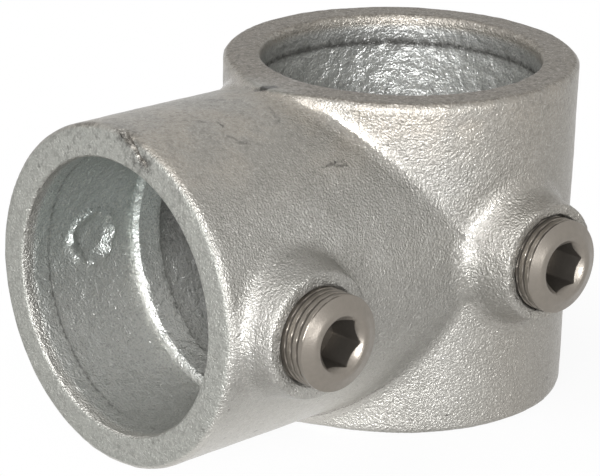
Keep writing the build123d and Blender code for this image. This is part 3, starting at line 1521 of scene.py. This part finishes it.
@dataclass(frozen=True)
class MachinedSteel:
    """Turned steel of the set screws, with painted shade in the thread's grooves and in the key socket. Noise
    sizes are metres.
    """

    name: str = "set_screw_steel"
    colour: Colour = (0.250, 0.225, 0.193)
    # Colour of the painted shade in the grooves and the key socket.
    soot_and_shade: Colour = (0.02, 0.018, 0.016)
    darkening: float = 0.75
    metallic: float = 0.9
    roughness: float = 0.33
    groove_shade: float = 0.93
    cloud_size: float = 0.0012
    tooling_size: float = 0.0003
    tooling_depth: float = 0.00002

    def material(self) -> bpy.types.Material:
        """Build the material.

        Returns:
            The material.
        """
        made = bpy.data.materials.new(self.name)
        graph = Graph(made)
        place, groove = graph.place(), graph.attribute("groove")
        cloud = graph.noise(place, self.cloud_size, 3.0, 0.6)
        tooling = graph.noise(place, self.tooling_size, 2.0, 0.5)
        steel = graph.blend(cloud, self.colour, tuple(self.darkening * part for part in self.colour))
        inputs = {
            # Painted shade: darker in the thread's grooves and down the key socket.
            "Base Color": graph.blend(groove.step(0.15, 0.85) * self.groove_shade, steel, self.soot_and_shade),
            "Metallic": self.metallic,
            "Roughness": self.roughness + (cloud - 0.5) * 0.25 + groove * 0.3,
            "Normal": graph.bump(tooling, self.tooling_depth),
        }
        graph.finish(graph.principled(inputs))
        return made


# ---------------------------------------------------------------- studio


@dataclass(frozen=True)
class Softbox:
    """One square lamp that faces the casting. Its size and distance are metres and its power watts."""

    name: str
    azimuth: float
    elevation: float
    size: float
    power: float
    distance: float = 0.9
    colour: Colour = (0.99, 1.0, 1.03)

    def build(self) -> None:
        """Place the lamp; azimuth 0 is on the +X side and turns towards +Y."""
        data = bpy.data.lights.new(self.name, "AREA")
        data.size = self.size
        data.energy = self.power
        data.color = self.colour
        lamp = bpy.data.objects.new(self.name, data)
        turn, rise = math.radians(self.azimuth), math.radians(self.elevation)
        away = Vector((math.cos(rise) * math.cos(turn), math.cos(rise) * math.sin(turn), math.sin(rise)))
        lamp.location = away * self.distance
        lamp.rotation_euler = away.to_track_quat("Z", "Y").to_euler()
        bpy.context.scene.collection.objects.link(lamp)


LAMPS = (
    Softbox("flash", -43.0, 20.0, 0.15, 5.6),
    Softbox("key", -55.0, 20.0, 0.30, 2.2),
    Softbox("low", -46.0, 3.0, 0.15, 3.6),
    Softbox("low_left", -68.0, 6.0, 0.20, 0.9),
    Softbox("left", -70.0, 25.0, 0.30, 1.1),
    Softbox("right", -4.0, 4.0, 0.20, 1.2),
    Softbox("far_left", -90.0, 50.0, 0.50, 2.5),
)


@dataclass
class Studio:
    """White table and surroundings, soft lamps and the camera. The floor's level and glow are in metres."""

    floor_level: float
    lamps: tuple[Softbox, ...] = LAMPS
    azimuth: float = 46.85
    elevation: float = 19.57
    roll: float = 1.07
    distance: float = 582.29
    slide_right: float = -17.67
    slide_up: float = -4.38
    lens: float = 190.75
    sensor: float = 36.0
    clip_end: float = 100.0
    floor_radius: float = 1500.0
    floor_sides: int = 96
    floor_grey: Colour = (0.85, 0.85, 0.85)
    floor_glow: Span = (0.90, 1.00)
    glow_reach: Span = (0.03, 0.09)
    surroundings: Colour = (0.16, 0.15, 0.135)
    white: Colour = (1.0, 1.0, 1.0)

    def camera(self) -> None:
        """Stand the camera before the socket's mouth, a little above it and on the screws' side."""
        turn, rise, tilt = (math.radians(angle) for angle in (self.azimuth, self.elevation, self.roll))
        back = Vector((math.sin(turn) * math.cos(rise), -math.cos(turn) * math.cos(rise), math.sin(rise)))
        level = Vector((math.cos(turn), math.sin(turn), 0.0))
        above = back.cross(level)
        right = math.cos(tilt) * level + math.sin(tilt) * above
        up = math.cos(tilt) * above - math.sin(tilt) * level
        data = bpy.data.cameras.new("camera")
        data.lens = self.lens
        data.sensor_width = self.sensor
        data.clip_end = self.clip_end
        camera = bpy.data.objects.new("camera", data)
        place = (back * self.distance + right * self.slide_right + up * self.slide_up) * MM
        turned = Matrix((right, up, back)).transposed().to_4x4()
        camera.matrix_world = Matrix.Translation(place) @ turned
        bpy.context.scene.collection.objects.link(camera)
        bpy.context.scene.camera = camera

    @staticmethod
    def shown(graph: Graph) -> Value:
        """1 for rays from the camera and for those that metal or glass turned aside, else 0.

        Args:
            graph: the nodes of the floor or the world.

        Returns:
            The switch.
        """
        kinds = ("Is Camera Ray", "Is Glossy Ray", "Is Transmission Ray")
        camera, glossy, through = (graph.node("ShaderNodeLightPath", {}, {}, output=kind) for kind in kinds)
        return (camera + glossy + through).clamped()

    def table_white(self) -> bpy.types.Material:
        """Matt white that takes a shadow, mixed with a plain white glow where it is seen.

        Returns:
            The material.
        """
        made = bpy.data.materials.new("table_white")
        graph = Graph(made)
        matt = graph.node("ShaderNodeBsdfDiffuse", {}, {"Color": (*self.floor_grey, 1.0)})
        glow = graph.node("ShaderNodeEmission", {}, {"Color": (*self.white, 1.0), "Strength": 1.0})
        share = graph.length(graph.place()).step(*self.glow_reach).between(*self.floor_glow)
        graph.finish(graph.node("ShaderNodeMixShader", {}, {0: self.shown(graph) * share, 1: matt, 2: glow}))
        return made

    def floor(self) -> None:
        """A round white table: points on a circle, joined in one face."""
        angles = np.linspace(0, 2 * np.pi, self.floor_sides, endpoint=False)
        rim = np.stack([np.cos(angles), np.sin(angles), np.zeros_like(angles)], axis=1) * self.floor_radius
        points = rim * MM + np.array([0, 0, self.floor_level])
        mesh = bpy.data.meshes.new("table")
        mesh.from_pydata(points.tolist(), [], [list(range(len(points)))])
        mesh.materials.append(self.table_white())
        table = bpy.data.objects.new("table", mesh)
        bpy.context.scene.collection.objects.link(table)
        table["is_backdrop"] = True

    def world(self) -> None:
        """Even pale light from all round; the camera sees plain white."""
        world = bpy.data.worlds.new("tent")
        bpy.context.scene.world = world
        graph = Graph(world)
        colour = graph.blend(self.shown(graph), self.surroundings, self.white)
        graph.finish(graph.node("ShaderNodeBackground", {}, {"Color": colour, "Strength": 1.0}), world=True)

    def build(self) -> None:
        """Build all of it."""
        self.camera()
        self.floor()
        self.world()
        for lamp in self.lamps:
            lamp.build()


# ---------------------------------------------------------------- the fitting


SCREW_CLEARANCE = 0.05
SLEEVE_BOSS_FACE = 38.2
SLEEVE_BOSS_WALL = 2.1
SOCKET_BOSS_FACE = 35.685
SOCKET_BOSS_WALL = 2.6
SPOT_OFFSET = (1.2, 0.7)


def box_of(node: str) -> tuple[Field, Field]:
    """Lower and upper corner of a solid."""
    low, high = (np.array(corner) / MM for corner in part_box(node))
    return low, high


def set_screw(name: str, node: str, key_angle: float, thread_phase: float) -> SetScrew:
    """Size a set screw's surface to its solid.

    Args:
        name: the piece's name.
        node: the solid.
        key_angle: how far the key socket is turned.
        thread_phase: share of a turn by which the thread is shifted.

    Returns:
        The screw.
    """
    low, high = box_of(node)
    middle, radius = (low + high) / 2, (high[2] - low[2]) / 2
    return SetScrew(name, low[0], high[0], middle[1], middle[2], key_angle, thread_phase, radius)


def boss_round(screw: SetScrew, face: float, wall: float, **sizes: float) -> Boss:
    """A boss about a screw, with so much metal round its hole at the face."""
    return Boss(screw.across, screw.up, face, screw.radius + SCREW_CLEARANCE + wall, **sizes)


def dress(piece: bpy.types.Object, body: str, node: str, finish: bpy.types.Material) -> None:
    """Give a piece its finish, its body and the solid it stands for, and report it.

    Args:
        piece: the piece.
        body: the body that it rides on.
        node: the solid that it replaces.
        finish: its material.
    """
    piece.data.materials.append(finish)
    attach(piece, body)
    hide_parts(node)
    log.info("%s: %d points, %d faces", piece.name, len(piece.data.vertices), len(piece.data.polygons))


def main() -> None:
    """Build the scene."""
    logging.basicConfig(level=logging.INFO, format="%(message)s")
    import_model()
    cad_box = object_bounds()
    low, high = box_of("tee_casting")
    sleeve_screw = set_screw("sleeve_screw_thread", "sleeve_set_screw", key_angle=9.0, thread_phase=0.61)
    socket_screw = set_screw("socket_screw_thread", "socket_set_screw", key_angle=-11.5, thread_phase=0.47)
    bosses = [
        # The sleeve's boss gets a wider ring of painted shade round its screw.
        boss_round(sleeve_screw, SLEEVE_BOSS_FACE, SLEEVE_BOSS_WALL, blend=4.5, dirt=0.60),
        boss_round(socket_screw, SOCKET_BOSS_FACE, SOCKET_BOSS_WALL),
    ]
    spot = DrillSpot(socket_screw.across + SPOT_OFFSET[0], socket_screw.up + SPOT_OFFSET[1])
    casting = Casting(high[2], -low[1], bosses, spot)
    zinc = GalvanisedZinc(casting.shade_rings()).material()
    dress(casting.build(), "casting", "tee_casting", zinc)
    steel = MachinedSteel().material()
    dress(sleeve_screw.build(), "sleeve_screw", "sleeve_set_screw", steel)
    dress(socket_screw.build(), "socket_screw", "socket_set_screw", steel)
    Studio(floor_level=cad_box[0][2]).build()
    bpy.context.scene.view_settings.view_transform = "Standard"


if __name__ == "__main__":
    main()
